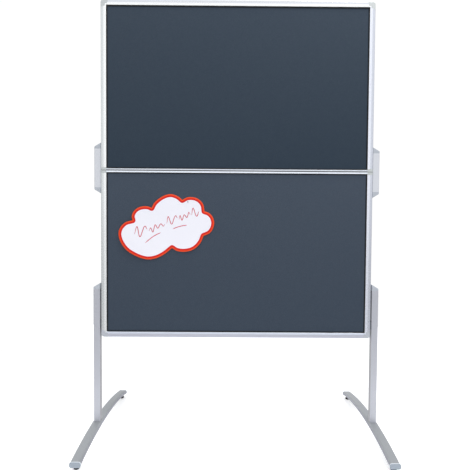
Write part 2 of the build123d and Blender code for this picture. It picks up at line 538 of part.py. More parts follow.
# ================================================================ cloud-shaped card and its pins
with BuildPart() as cloud_card:
    with BuildSketch(Plane(origin=(0, CARD_Y - 0.3, 0), x_dir=(1, 0, 0), z_dir=(0, -1, 0))):
        with BuildLine():
            Spline((-460.4, 973.1), (-464.4, 987.2), (-461.7, 1002.3), (-453.3, 1016.1), (-440.0, 1027.2), (-422.3, 1034.0),
                   (-402.4, 1035.9), (-386.0, 1032.9), (-377.1, 1028.5))
            Spline((-377.1, 1028.5), (-365.6, 1050.3), (-345.7, 1069.0), (-320.5, 1083.7), (-294.0, 1090.1), (-272.8, 1085.8),
                   (-255.1, 1076.7), (-241.8, 1064.8))
            Spline((-241.8, 1064.8), (-221.9, 1075.6), (-202.0, 1077.9), (-179.4, 1073.7), (-159.4, 1060.5), (-146.9, 1040.7),
                   (-143.3, 1015.5))
            Spline((-143.3, 1015.5), (-123.7, 1008.2), (-107.2, 991.4), (-99.6, 966.7), (-104.3, 940.0), (-120.2, 918.1),
                   (-146.8, 906.0))
            Spline((-146.8, 906.0), (-156.0, 882.4), (-170.2, 862.2), (-190.1, 846.5), (-212.7, 837.9), (-240.7, 835.1),
                   (-266.5, 839.8), (-286.1, 851.7))
            Spline((-286.1, 851.7), (-314.5, 827.9), (-348.7, 808.5), (-385.6, 800.3), (-419.3, 805.0), (-456.2, 820.8),
                   (-488.6, 843.3), (-512.9, 876.9), (-522.6, 911.0), (-515.0, 940.8), (-491.9, 964.0), (-460.4, 973.1))
        make_face()
    extrude(amount=CARD_T)
    with Locations(*[Location((x, CARD_Y, z), (90, 0, 0)) for x, z in PIN_POS]):
        Cylinder(0.55, 12, mode=Mode.SUBTRACT)
cloud_card.part.label = "cloud_card"
export_step(cloud_card.part, "parts/cloud_card.step")

# map pin: a small round head and a needle into felt and core
with BuildPart() as card_pin:
    with Locations(*[(x, CARD_Y - 0.3 - CARD_T - 2.65, z) for x, z in PIN_POS]):
        Sphere(2.6)
    with Locations(*[Location((x, CARD_Y + 2.0, z), (90, 0, 0)) for x, z in PIN_POS]):
        Cylinder(0.5, 9.0)
card_pin.part.label = "card_pin"
export_step(card_pin.part, "parts/card_pin.step")
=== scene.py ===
import math
import random

import bmesh
import bpy
import numpy as np
from mathutils import Matrix, Vector
from mathutils.geometry import delaunay_2d_cdt


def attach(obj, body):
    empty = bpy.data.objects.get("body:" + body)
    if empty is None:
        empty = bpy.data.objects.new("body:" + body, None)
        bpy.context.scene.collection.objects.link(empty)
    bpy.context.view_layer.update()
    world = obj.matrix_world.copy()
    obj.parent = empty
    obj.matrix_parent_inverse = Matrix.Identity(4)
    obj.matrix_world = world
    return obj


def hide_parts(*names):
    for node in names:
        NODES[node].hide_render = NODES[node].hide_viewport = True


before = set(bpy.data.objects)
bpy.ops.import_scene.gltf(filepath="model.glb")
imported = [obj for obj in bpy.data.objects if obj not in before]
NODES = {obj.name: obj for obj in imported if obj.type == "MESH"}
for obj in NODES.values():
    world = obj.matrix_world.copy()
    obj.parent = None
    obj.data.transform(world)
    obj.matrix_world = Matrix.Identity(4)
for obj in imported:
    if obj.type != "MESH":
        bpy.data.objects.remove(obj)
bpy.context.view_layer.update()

scene = bpy.context.scene

# ------------------------------------------------------------------ sizes shared with the CAD frame, metres
BOARD_Y = -0.071           # middle plane of the board
T = 0.016                  # half the frame's depth
FELT_IN, FELT_OUT = 0.008, 0.0105
OPEN_X = 0.576             # half the felt opening's width
LOWER = (0.4765, 1.185)    # felt openings, low and high edge
UPPER = (1.202, 1.9105)
LOWER_PANEL = (0.4715, 1.188)
UPPER_PANEL = (1.199, 1.9155)
PANEL_X = 0.581
FELT_FRONT = BOARD_Y - FELT_OUT


def srgb(r, g, b):
    """Colour given as 0-255 screen values."""
    out = []
    for c in (r, g, b):
        c /= 255.0
        out.append(c / 12.92 if c <= 0.04045 else ((c + 0.055) / 1.055) ** 2.4)
    return (*out, 1.0)


def scaled(c, k):
    return (min(c[0] * k, 1.0), min(c[1] * k, 1.0), min(c[2] * k, 1.0), 1.0)


# ================================================================== materials
class Mat:
    """A small builder for node materials in object space."""

    def __init__(self, name, **constants):
        self.m = bpy.data.materials.new(name)
        self.m.use_nodes = True
        self.nt = self.m.node_tree
        self.nt.nodes.clear()
        self.out = self.nt.nodes.new("ShaderNodeOutputMaterial")
        self.b = self.nt.nodes.new("ShaderNodeBsdfPrincipled")
        self.nt.links.new(self.b.outputs[0], self.out.inputs[0])
        for k, v in constants.items():
            self.b.inputs[k.replace("_", " ")].default_value = v
        self.tc = self.nt.nodes.new("ShaderNodeTexCoord")
        self.normal = None

    def link(self, a, b):
        self.nt.links.new(a, b)

    def mapped(self, scale):
        n = self.nt.nodes.new("ShaderNodeMapping")
        n.inputs["Scale"].default_value = scale
        self.link(self.tc.outputs["Object"], n.inputs["Vector"])
        return n.outputs["Vector"]

    def noise(self, scale, detail=3.0, rough=0.55, stretch=None, distortion=0.0):
        n = self.nt.nodes.new("ShaderNodeTexNoise")
        n.inputs["Scale"].default_value = scale
        n.inputs["Detail"].default_value = detail
        n.inputs["Roughness"].default_value = rough
        n.inputs["Distortion"].default_value = distortion
        self.link(self.mapped(stretch) if stretch else self.tc.outputs["Object"], n.inputs["Vector"])
        return n.outputs["Fac"]

    def voronoi(self, scale, stretch=None):
        n = self.nt.nodes.new("ShaderNodeTexVoronoi")
        n.inputs["Scale"].default_value = scale
        self.link(self.mapped(stretch) if stretch else self.tc.outputs["Object"], n.inputs["Vector"])
        return n.outputs["Distance"]

    def remap(self, value, a, b, c=0.0, d=1.0, smooth=False):
        n = self.nt.nodes.new("ShaderNodeMapRange")
        n.interpolation_type = "SMOOTHSTEP" if smooth else "LINEAR"
        n.clamp = True
        for k, v in zip(("From Min", "From Max", "To Min", "To Max"), (a, b, c, d)):
            n.inputs[k].default_value = v
        self.link(value, n.inputs["Value"])
        return n.outputs["Result"]

    def axis(self, name):
        n = self.nt.nodes.new("ShaderNodeSeparateXYZ")
        self.link(self.tc.outputs["Object"], n.inputs[0])
        return n.outputs[name]

    def math(self, op, a, b=0.0):
        n = self.nt.nodes.new("ShaderNodeMath")
        n.operation = op
        for i, v in enumerate((a, b)):
            if isinstance(v, (int, float)):
                n.inputs[i].default_value = v
            else:
                self.link(v, n.inputs[i])
        return n.outputs[0]

    def ramp(self, value, stops):
        n = self.nt.nodes.new("ShaderNodeValToRGB")
        e = n.color_ramp.elements
        while len(e) > 1:
            e.remove(e[-1])
        e[0].position, e[0].color = stops[0]
        for p, c in stops[1:]:
            x = e.new(p)
            x.color = c
        self.link(value, n.inputs[0])
        return n.outputs[0]

    def mix(self, fac, a, b, kind="MIX"):
        n = self.nt.nodes.new("ShaderNodeMix")
        n.data_type = "RGBA"
        n.blend_type = kind
        for sock, v in ((n.inputs[0], fac), (n.inputs[6], a), (n.inputs[7], b)):
            if isinstance(v, (int, float, tuple)):
                sock.default_value = v
            else:
                self.link(v, sock)
        return n.outputs[2]

    def colour(self, c):
        self.link(c, self.b.inputs["Base Color"])

    def rough(self, r):
        self.link(r, self.b.inputs["Roughness"])

    def bump(self, height, distance, strength=1.0):
        n = self.nt.nodes.new("ShaderNodeBump")
        n.inputs["Strength"].default_value = strength
        n.inputs["Distance"].default_value = distance
        self.link(height, n.inputs["Height"])
        if self.normal is not None:
            self.link(self.normal, n.inputs["Normal"])
        self.normal = n.outputs[0]
        self.link(self.normal, self.b.inputs["Normal"])


STRETCH = {"X": (6.0, 1500.0, 1500.0), "Z": (1500.0, 1500.0, 6.0), "Y": (1500.0, 6.0, 1500.0)}


def satin_aluminium(name, base, axis, lip=None, lip_painted_tone=None, rough=(0.22, 0.32), metallic=0.85):
    """Drawn and anodised profile: fine lines along its length, faint cloudiness, and a band along the inner lip in
    another tone: a painted highlight, or painted shade at the fold on the mid rails.
    """
    m = Mat(name, Metallic=metallic)
    lines = m.noise(1.0, 4.0, 0.6, STRETCH[axis])
    cloud = m.noise(9.0, 3.0, 0.5)
    dust = m.noise(240.0, 2.0, 0.5)
    c = m.ramp(m.remap(lines, 0.3, 0.7), [(0.0, scaled(base, 0.975)), (1.0, scaled(base, 1.02))])
    c = m.mix(m.remap(cloud, 0.35, 0.65, 0.0, 0.5), c, scaled(base, 0.975))
    # painted highlight along the inner lip; painted shade along the fold on the mid rails
    if lip is not None:
        kind, a, b = lip
        v = m.axis(kind[-1])
        if kind.startswith("fold"):
            v = m.math("SUBTRACT", v, 1.1935)
        if kind.startswith(("abs", "fold")):
            v = m.math("ABSOLUTE", v)
        k = m.remap(v, a, b, 0.0, 1.0, True)
        near = m.ramp(m.remap(lines, 0.3, 0.7), [(0.0, scaled(lip_painted_tone, 0.985)), (1.0, scaled(lip_painted_tone, 1.01))])
        c = m.mix(k, c, near)
    m.colour(c)
    r = m.remap(lines, 0.25, 0.75, rough[0], rough[1])
    m.rough(m.math("ADD", r, m.remap(dust, 0.3, 0.8, 0.0, 0.05)))
    m.bump(lines, 0.00002, 0.35)
    m.bump(cloud, 0.0002, 0.12)
    return m.m


def powder_silver(name, base, rough=0.42, metallic=0.35, scuffs=0.0, side=None):
    """Sprayed silver paint: metal flake sparkle and a slight orange-peel surface."""
    m = Mat(name, Metallic=metallic)
    peel = m.noise(420.0, 3.0, 0.55)
    flake = m.voronoi(2600.0)
    cloud = m.noise(7.0, 3.0, 0.5)
    c = m.ramp(m.remap(flake, 0.15, 0.75), [(0.0, scaled(base, 1.09)), (0.45, base), (1.0, scaled(base, 0.93))])
    c = m.mix(m.remap(cloud, 0.35, 0.68, 0.0, 0.6), c, scaled(base, 0.95))
    if scuffs:
        scratch = m.noise(1.0, 2.0, 0.6, (140.0, 900.0, 60.0), 1.5)
        c = m.mix(m.remap(scratch, 0.66, 0.72, 0.0, scuffs), c, scaled(base, 0.62))
    if side:
        # painted shade: the inner side face is painted darker than the front
        x = m.math("ABSOLUTE", m.axis("X"))
        c = m.mix(m.remap(x, side[0], side[0] + 0.0008, 1.0, 0.0, True), c, side[1])
    m.colour(c)
    m.rough(m.math("ADD", m.remap(peel, 0.3, 0.7, rough - 0.05, rough + 0.06), m.remap(cloud, 0.3, 0.7, -0.02, 0.03)))
    m.bump(peel, 0.00012, 0.35)
    m.bump(flake, 0.00003, 0.25)
    return m.m


def moulded(name, base, rough=0.46, grain=900.0, depth=0.00012, metallic=0.0, shade=0.94, painted_highlight_band=None):
    """Injection-moulded plastic with a fine spark-eroded grain."""
    m = Mat(name, Metallic=metallic)
    g = m.voronoi(grain)
    g2 = m.noise(grain * 0.7, 4.0, 0.6)
    cloud = m.noise(22.0, 3.0, 0.5)
    c = m.ramp(m.remap(g2, 0.32, 0.68), [(0.0, scaled(base, shade)), (1.0, scaled(base, 1.04))])
    c = m.mix(m.remap(cloud, 0.35, 0.65, 0.0, 0.5), c, scaled(base, 0.95))
    # painted highlight: a lighter band painted on the cap
    if painted_highlight_band:
        y = m.math("ABSOLUTE", m.axis("Y"))
        c = m.mix(m.remap(y, painted_highlight_band[1], painted_highlight_band[1] + 0.0006, 1.0, 0.0, True), c, painted_highlight_band[2])
    m.colour(c)
    m.rough(m.remap(g2, 0.3, 0.7, rough - 0.06, rough + 0.08))
    m.bump(g, depth, 0.4)
    m.bump(g2, depth, 0.3)
    return m.m


def steel(name, base, rough=0.28):
    m = Mat(name, Metallic=1.0)
    turn = m.noise(1600.0, 3.0, 0.6)
    spot = m.noise(90.0, 3.0, 0.6)
    c = m.ramp(m.remap(spot, 0.35, 0.7), [(0.0, scaled(base, 1.04)), (1.0, scaled(base, 0.84))])
    m.colour(c)
    m.rough(m.remap(turn, 0.3, 0.7, rough - 0.08, rough + 0.12))
    m.bump(turn, 0.00003, 0.4)
    return m.m


def chipboard(name):
    """Fibre board: short pale fibres in every direction."""
    m = Mat(name)
    f = m.noise(260.0, 5.0, 0.7, (1.0, 3.0, 0.35), 0.8)
    f2 = m.noise(900.0, 3.0, 0.6)
    m.colour(m.ramp(m.remap(f, 0.3, 0.7), [(0.0, srgb(120, 92, 62)), (0.5, srgb(158, 128, 92)), (1.0, srgb(188, 160, 122))]))
    m.rough(m.remap(f2, 0.3, 0.7, 0.78, 0.92))
    m.bump(f, 0.0005, 0.6)
    m.bump(f2, 0.0002, 0.4)
    return m.m


def felt_material(name, low, high, zs):
    """Needled felt: matted blue and grey fibres, with painted shade: darker towards the bottom of each opening and
    lighter towards its top.
    """
    m = Mat(name, Roughness=0.95)
    m.b.inputs["Sheen Weight"].default_value = 0.12
    m.b.inputs["Sheen Roughness"].default_value = 0.5
    m.b.inputs["Sheen Tint"].default_value = srgb(150, 165, 185)
    m.b.inputs["Specular IOR Level"].default_value = 0.18
    tuft = m.noise(430.0, 5.0, 0.7, None, 0.6)
    hair_a = m.noise(1.0, 4.0, 0.7, (1900.0, 900.0, 260.0), 1.1)
    hair_b = m.noise(1.0, 4.0, 0.7, (300.0, 900.0, 2100.0), 1.1)
    blotch = m.noise(46.0, 4.0, 0.6)
    wide = m.noise(4.5, 3.0, 0.5)
    # painted shade: each half is darker at the bottom of its opening and lighter at the top
    height = m.remap(m.axis("Z"), zs[0], zs[1])
    c = m.ramp(height, [(0.0, low), (1.0, high)])
    c = m.mix(m.remap(tuft, 0.36, 0.64), m.mix(1.0, c, (0.78, 0.79, 0.82, 1.0), "MULTIPLY"), m.mix(1.0, c, (1.24, 1.22, 1.18, 1.0), "MULTIPLY"))
    c = m.mix(m.remap(hair_a, 0.60, 0.72, 0.0, 0.55), c, m.mix(1.0, c, (1.6, 1.55, 1.5, 1.0), "MULTIPLY"))
    c = m.mix(m.remap(hair_b, 0.62, 0.74, 0.0, 0.5), c, m.mix(1.0, c, (0.55, 0.6, 0.7, 1.0), "MULTIPLY"))
    c = m.mix(m.remap(blotch, 0.35, 0.65, 0.0, 0.35), c, m.mix(1.0, c, (0.86, 0.9, 0.95, 1.0), "MULTIPLY"))
    c = m.mix(m.remap(wide, 0.35, 0.65, 0.0, 0.3), c, m.mix(1.0, c, (0.93, 0.95, 0.97, 1.0), "MULTIPLY"))
    m.colour(c)
    m.rough(m.remap(tuft, 0.3, 0.7, 0.88, 1.0))
    m.bump(blotch, 0.0012, 0.25)
    m.bump(tuft, 0.0007, 0.6)
    m.bump(hair_a, 0.0003, 0.4)
    m.bump(hair_b, 0.0003, 0.4)
    return m.m


def paper_material(name):
    """Coated card, printed with a two-tone border that follows its outline."""
    m = Mat(name, Roughness=0.5)
    m.b.inputs["Specular IOR Level"].default_value = 0.35
    # painted light: the card glows faintly in its own printed colours, though it is no lamp
    m.b.inputs["Emission Strength"].default_value = 0.05
    att = m.nt.nodes.new("ShaderNodeAttribute")
    att.attribute_name = "edge_mm"
    edge = att.outputs["Fac"]
    fibre = m.noise(1500.0, 4.0, 0.65)
    cloud = m.noise(30.0, 3.0, 0.5)
    wob = m.math("ADD", edge, m.remap(cloud, 0.2, 0.8, -0.25, 0.25))
    white = m.ramp(m.remap(fibre, 0.3, 0.7), [(0.0, PAPER_LOW), (1.0, PAPER_HIGH)])
    t = m.remap(wob, 0.0, 20.0)
    c = m.ramp(t, [(0.0, PRINT_OUT), (0.22, PRINT_OUT), (0.30, PRINT_MID), (0.60, PRINT_IN), (0.635, PRINT_IN), (0.665, PRINT_IN)])
    c = m.mix(m.remap(wob, 12.7, 13.6), c, white)
    m.colour(c)
    # painted light: the card's colour also feeds its faint glow
    m.nt.links.new(c, m.b.inputs["Emission Color"])
    m.rough(m.remap(fibre, 0.3, 0.7, 0.42, 0.56))
    m.bump(fibre, 0.00006, 0.4)
    m.bump(cloud, 0.0006, 0.15)
    return m.m


def ink_material(name, base):
    m = Mat(name, Roughness=0.5)
    f = m.noise(1200.0, 3.0, 0.6)
    s = m.noise(160.0, 3.0, 0.6)
    c = m.ramp(m.remap(s, 0.3, 0.7), [(0.0, scaled(base, 0.9)), (1.0, scaled(base, 1.15))])
    m.colour(c)
    m.rough(m.remap(f, 0.3, 0.7, 0.4, 0.6))
    m.bump(f, 0.00003, 0.3)
    return m.m


PAPER_LOW, PAPER_HIGH = srgb(238, 238, 248), srgb(246, 246, 255)
PRINT_OUT, PRINT_MID, PRINT_IN = srgb(236, 72, 12), srgb(224, 24, 6), srgb(208, 14, 14)

FRAME = srgb(220, 223, 230)
# painted highlight colour for the inner lip band
LIP_PAINTED_HIGHLIGHT = srgb(252, 254, 255)
mats = {
    # Each rail gets its own copy of the anodised colour, lighter or darker by how the light falls on that side:
    # painted light and shade. The lip band is a painted highlight; on the mid rails it is painted shade at the fold.
    "rail_top": satin_aluminium("rail_top", FRAME, "X", ("Z", 1.9245, 1.9175), LIP_PAINTED_HIGHLIGHT),
    "rail_bottom": satin_aluminium("rail_bottom", srgb(201, 203, 216), "X", ("Z", 0.4660, 0.4705), srgb(226, 232, 244), rough=(0.36, 0.42)),
    "rail_left": satin_aluminium("rail_left", srgb(218, 222, 223), "Z", ("absX", 0.5905, 0.5835), LIP_PAINTED_HIGHLIGHT),
    "rail_right": satin_aluminium("rail_right", srgb(207, 211, 222), "Z", ("absX", 0.5905, 0.5835), srgb(240, 243, 253)),
    "rail_mid_upper": satin_aluminium("rail_mid_upper", srgb(219, 224, 233), "X", ("foldZ", 0.0027, 0.0023), srgb(52, 56, 62)),
    "rail_mid_lower": satin_aluminium("rail_mid_lower", srgb(238, 244, 254), "X", ("foldZ", 0.0018, 0.0015), srgb(52, 56, 62)),
    "corner": moulded("corner_plastic", srgb(203, 208, 209), 0.4, metallic=0.35),
    # painted shade: the lower corner caps are painted darker than the upper ones
    "corner_low_painted_shade": moulded("lower_corner_plastic", srgb(191, 195, 204), 0.44, metallic=0.35),
    "lock": powder_silver("lock_silver", srgb(220, 223, 230), 0.38, 0.35),
    # painted shade: side= paints the inner side faces of the posts and feet darker
    "post": powder_silver("post_silver", srgb(190, 192, 201), 0.44, 0.35, side=(0.6062, srgb(146, 146, 151))),
    "foot": powder_silver("foot_silver", srgb(157, 160, 164), 0.48, 0.3, 0.25, side=(0.6004, srgb(140, 141, 153))),
    "cap": moulded("cap_plastic", srgb(188, 194, 203), 0.44),
    # painted highlight: a light band painted on the foot caps next to the foot
    "foot_cap": moulded("foot_cap_plastic", srgb(150, 160, 172), 0.44, painted_highlight_band=(0.3328, 0.3366, srgb(222, 229, 236))),
    "plug": moulded("plug_plastic_grey", srgb(170, 176, 184), 0.5),
    "spacer": moulded("spacer_plastic", srgb(96, 100, 108), 0.5),
    "rubber": moulded("glide_rubber", srgb(38, 33, 42), 0.6, 700.0, 0.0002, shade=0.8),
    "steel": steel("zinc_steel", srgb(196, 198, 202)),
    "bright": steel("pin_steel", srgb(178, 184, 180), 0.2),
    "core": chipboard("fibre_core"),
    # painted shadow: a near-black strip along the shadow line between the frame's lip and the felt
    "shadow_line_dark": moulded("painted_shadow_strip_material", srgb(9, 12, 17), 0.75, 600.0, 0.0002, shade=0.75),
}

# felt colour at the bottom and top of each opening; the rise from dark to light is painted shade
FELT = {
    "upper": (srgb(51, 63, 76), srgb(63, 74, 87)),
    "lower": (srgb(60, 70, 83), srgb(72, 82, 95.5)),
}

ASSIGN = {
    "upper_top_rail": "rail_top", "lower_bottom_rail": "rail_bottom",
    "upper_left_rail": "rail_left", "upper_right_rail": "rail_right",
    "lower_left_rail": "rail_left", "lower_right_rail": "rail_right",
    "upper_mid_rail": "rail_mid_upper", "lower_mid_rail": "rail_mid_lower",
    "upper_corner_caps": "corner", "lower_corner_caps": "corner_low_painted_shade",
    "upper_mid_caps": "corner", "lower_mid_caps": "corner",
    "left_post": "post", "right_post": "post",
    "left_foot": "foot", "right_foot": "foot",
    "left_lock_body": "lock", "right_lock_body": "lock",
    "left_lock_caps": "cap", "right_lock_caps": "cap", "post_top_caps": "cap",
    "foot_end_caps": "foot_cap", "post_hole_plugs": "plug", "post_spacers": "spacer", "post_base_plugs": "spacer",
    "left_lock_slider": "spacer", "right_lock_slider": "spacer",
    "lower_core": "core", "upper_core": "core", "card_pin": "bright",
}
for name, node in NODES.items():
    key = ASSIGN.get(name)
    if key is None:
        key = "rubber" if name.endswith("_pad") else "steel"
    for s in node.material_slots:
        s.link = "OBJECT"
        s.material = mats[key]


# ================================================================== mesh helpers
def new_object(name, verts, faces, material, smooth=True):
    me = bpy.data.meshes.new(name)
    me.from_pydata([tuple(v) for v in verts], [], [tuple(f) for f in faces])
    me.validate()
    me.update()
    bm = bmesh.new()
    bm.from_mesh(me)
    bmesh.ops.recalc_face_normals(bm, faces=bm.faces)
    bm.to_mesh(me)
    bm.free()
    for p in me.polygons:
        p.use_smooth = smooth
    o = bpy.data.objects.new(name, me)
    scene.collection.objects.link(o)
    o.data.materials.append(material)
    return o


def lump(x, z, seed):
    """Gentle repeatable unevenness, about -1 to 1."""
    r = random.Random(seed)
    v = 0.0
    for i in range(7):
        a, b = r.uniform(6, 26), r.uniform(6, 26)
        p, q = r.uniform(0, 6.28), r.uniform(0, 6.28)
        v += math.sin(a * x + p + 2.0 * math.sin(0.35 * b * z + q)) * math.sin(b * z + q)
    return v / 4.0


# ================================================================== felt covers, stretched over the cores
def felt_cover(name, zs, side, opening, material, seed):
    """A thin felt sheet. side -1 is the front. It bulges a little in the opening and is pressed flat under the frame."""
    nx, nz = 146, 92
    xs = np.linspace(-PANEL_X, PANEL_X, nx)
    zz = np.linspace(zs[0], zs[1], nz)
    verts, faces = [], []
    for z in zz:
        for x in xs:
            inside = min(OPEN_X - abs(x), z - opening[0], opening[1] - z)
            k = min(max(inside / 0.010, 0.0), 1.0)
            k = k * k * (3 - 2 * k)
            out = FELT_OUT - 0.0002 + k * (0.00055 + 0.0002 * lump(x, z, seed))
            verts.append((x, BOARD_Y + side * out, z))
    n = len(verts)
    for j in range(nz - 1):
        for i in range(nx - 1):
            a = j * nx + i
            faces.append((a, a + 1, a + nx + 1, a + nx))
    rim = [i for i in range(nx)] + [j * nx + nx - 1 for j in range(1, nz)]
    rim += [(nz - 1) * nx + i for i in range(nx - 2, -1, -1)] + [j * nx for j in range(nz - 2, 0, -1)]
    back = []
    for i in rim:
        x, _, z = verts[i]
        back.append(len(verts))
        verts.append((x, BOARD_Y + side * (FELT_IN + 0.00002), z))
    m = len(rim)
    for i in range(m):
        j = (i + 1) % m
        faces.append((rim[i], back[i], back[j], rim[j]))
    faces.append(tuple(back))
    o = new_object(name, verts, faces, material)
    o.data.polygons[len(o.data.polygons) - 1].use_smooth = False
    return o


def painted_shadow_strip(name, opening, side, material):
    """A near-black rounded strip run round the opening between the frame's lip and the felt: a painted shadow,
    standing where the lip's shadow line falls.
    """
    w, h = 0.0046, 0.0026
    profile = []                                     # (distance in from the lip, height over the felt)
    profile += [(0.0, -0.0006), (0.0, h - 0.0007), (0.0004, h - 0.0002)]
    for a in range(0, 91, 15):
        profile.append((w - 0.0016 + 0.0016 * math.sin(math.radians(a)), h - 0.0016 + 0.0016 * math.cos(math.radians(a)) - 0.0002))
    profile += [(w, -0.0006)]
    corners = [(-OPEN_X, opening[0]), (OPEN_X, opening[0]), (OPEN_X, opening[1]), (-OPEN_X, opening[1])]
    cx, cz = 0.0, (opening[0] + opening[1]) / 2
    rings = []
    for k in range(4):
        a, b = corners[k], corners[(k + 1) % 4]
        steps = 24
        for i in range(steps):
            t = i / steps
            x, z = a[0] + (b[0] - a[0]) * t, a[1] + (b[1] - a[1]) * t
            if i == 0:
                d = (-math.copysign(1, x - cx), -math.copysign(1, z - cz))
            else:
                d = (0.0, -math.copysign(1, z - cz)) if abs(b[1] - a[1]) < 1e-6 else (-math.copysign(1, x - cx), 0.0)
            rings.append((x, z, d, 1.0 if i == 0 else 1.0))
    verts, faces = [], []
    for x, z, d, q in rings:
        for u, v in profile:
            verts.append((x + d[0] * u * q, BOARD_Y + side * (FELT_OUT + v), z + d[1] * u * q))
    n, m = len(profile), len(rings)
    for i in range(m):
        for j in range(n):
            a, b = i * n + j, i * n + (j + 1) % n
            c, e = ((i + 1) % m) * n + (j + 1) % n, ((i + 1) % m) * n + j
            faces.append((a, b, c, e))
    return new_object(name, verts, faces, material)


for half, zs, opening, body in (("lower", LOWER_PANEL, LOWER, "stand"), ("upper", UPPER_PANEL, UPPER, "upper_board")):
    low, high = FELT[half]
    fm = felt_material(f"{half}_felt_fibres", low, high, opening)
    for face, side in (("front", -1), ("back", 1)):
        o = felt_cover(f"{half}_{face}_felt_cover", zs, side, opening, fm, {"lower": 3, "upper": 11}[half] + side)
        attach(o, body)
        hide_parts(f"{half}_{face}_felt")
        # painted shadow: a near-black strip round the opening
        g = painted_shadow_strip(f"{half}_{face}_painted_shadow_strip", opening, side, mats["shadow_line_dark"])
        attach(g, body)


# ================================================================== cloud-shaped card
def catmull(points, n=14):
    out = []
    for i in range(1, len(points) - 2):
        p0, p1, p2, p3 = points[i - 1:i + 3]
        for k in range(n):
            t = k / n
            out.append(tuple(0.5 * ((2 * b) + (c - a) * t + (2 * a - 5 * b + 4 * c - d) * t * t + (3 * b - a - 3 * c + d) * t ** 3)
                             for a, b, c, d in zip(p0, p1, p2, p3)))
    return out


LOBES = [
    [(-460.4, 973.1), (-464.4, 987.2), (-461.7, 1002.3), (-453.3, 1016.1), (-440.0, 1027.2), (-422.3, 1034.0), (-402.4, 1035.9), (-386.0, 1032.9), (-377.1, 1028.5)],
    [(-377.1, 1028.5), (-365.6, 1050.3), (-345.7, 1069.0), (-320.5, 1083.7), (-294.0, 1090.1), (-272.8, 1085.8), (-255.1, 1076.7), (-241.8, 1064.8)],
    [(-241.8, 1064.8), (-221.9, 1075.6), (-202.0, 1077.9), (-179.4, 1073.7), (-159.4, 1060.5), (-146.9, 1040.7), (-143.3, 1015.5)],
    [(-143.3, 1015.5), (-123.7, 1008.2), (-107.2, 991.4), (-99.6, 966.7), (-104.3, 940.0), (-120.2, 918.1), (-146.8, 906.0)],
    [(-146.8, 906.0), (-156.0, 882.4), (-170.2, 862.2), (-190.1, 846.5), (-212.7, 837.9), (-240.7, 835.1), (-266.5, 839.8), (-286.1, 851.7)],
    [(-286.1, 851.7), (-314.5, 827.9), (-348.7, 808.5), (-385.6, 800.3), (-419.3, 805.0), (-456.2, 820.8), (-488.6, 843.3), (-512.9, 876.9), (-522.6, 911.0), (-515.0, 940.8), (-491.9, 964.0), (-460.4, 973.1)],
]
OUTLINE = []                                        # millimetres, in X and Z
for lobe in LOBES:
    first = (2 * lobe[0][0] - lobe[1][0], 2 * lobe[0][1] - lobe[1][1])
    last = (2 * lobe[-1][0] - lobe[-2][0], 2 * lobe[-1][1] - lobe[-2][1])
    OUTLINE += catmull([first, *lobe, last], 6)
PIN = (-216.5, 1056.0)


def edge_distance(x, z, loop=np.array(OUTLINE)):
    a, b = loop, np.roll(loop, -1, 0)
    ab = b - a
    t = np.clip(((x - a[:, 0]) * ab[:, 0] + (z - a[:, 1]) * ab[:, 1]) / (ab ** 2).sum(1), 0, 1)
    return float(np.hypot(a[:, 0] + t * ab[:, 0] - x, a[:, 1] + t * ab[:, 1] - z).min())


def inside(x, z):
    hit = False
    for i, (x1, z1) in enumerate(OUTLINE):
        x2, z2 = OUTLINE[(i + 1) % len(OUTLINE)]
        if (z1 > z) != (z2 > z) and x < (x2 - x1) * (z - z1) / (z2 - z1) + x1:
            hit = not hit
    return hit


def lift(x, z):
    """How far the card stands off the felt, in mm: pinned near its top, curling away at its lobes."""
    far = math.hypot(x - PIN[0], z - PIN[1])
    base = 1.0 - math.exp(-(far / 120.0) ** 2)
    curl = 2.2 * base
    curl += 6.5 * math.exp(-(((x + 470) / 95) ** 2 + ((z - 850) / 95) ** 2)) * base
    curl += 3.0 * math.exp(-(((x + 200) / 80) ** 2 + ((z - 830) / 60) ** 2)) * base
    curl += 2.4 * math.exp(-(((x + 105) / 60) ** 2 + ((z - 960) / 70) ** 2)) * base
    curl += 0.5 * math.sin(x / 42.0) * math.sin(z / 37.0 + 1.3) * base
    return 0.35 + max(curl, 0.0)


def card_sheet(name, thick, material):
    step = 5.0
    xs = np.arange(-524.0, -96.0, step)
    zs = np.arange(798.0, 1092.0, step)
    inner = []
    for j, z in enumerate(zs):
        for i, x in enumerate(xs):
            xx = x + (step / 2 if j % 2 else 0.0)
            if inside(xx, z):
                d = edge_distance(xx, z)
                if d > 2.4:
                    inner.append((xx, z))
    n_out = len(OUTLINE)
    pts = [Vector(p) for p in OUTLINE] + [Vector(p) for p in inner]
    edges = [(i, (i + 1) % n_out) for i in range(n_out)]
    vs, _, tris, *_ = delaunay_2d_cdt(pts, edges, [], 1, 1e-5)
    keep = []
    for t in tris:
        cx = sum(vs[i].x for i in t) / len(t)
        cz = sum(vs[i].y for i in t) / len(t)
        if inside(cx, cz):
            keep.append(tuple(t))
    n = len(vs)
    front = [(v.x / 1000, FELT_FRONT - (lift(v.x, v.y) + thick) / 1000, v.y / 1000) for v in vs]
    back = [(v.x / 1000, FELT_FRONT - lift(v.x, v.y) / 1000, v.y / 1000) for v in vs]
    faces = list(keep) + [tuple(i + n for i in reversed(t)) for t in keep]
    count = {}
    for t in keep:
        for a, b in zip(t, t[1:] + t[:1]):
            count[(a, b)] = count.get((a, b), 0) + 1
    for (a, b) in list(count):
        if (b, a) not in count:
            faces.append((b, a, a + n, b + n))
    o = new_object(name, front + back, faces, material)
    att = o.data.attributes.new("edge_mm", "FLOAT", "POINT")
    vals = []
    for i, v in enumerate(o.data.vertices):
        vals.append(edge_distance(v.co.x * 1000, v.co.z * 1000))
    att.data.foreach_set("value", np.array(vals, np.float32))
    return o


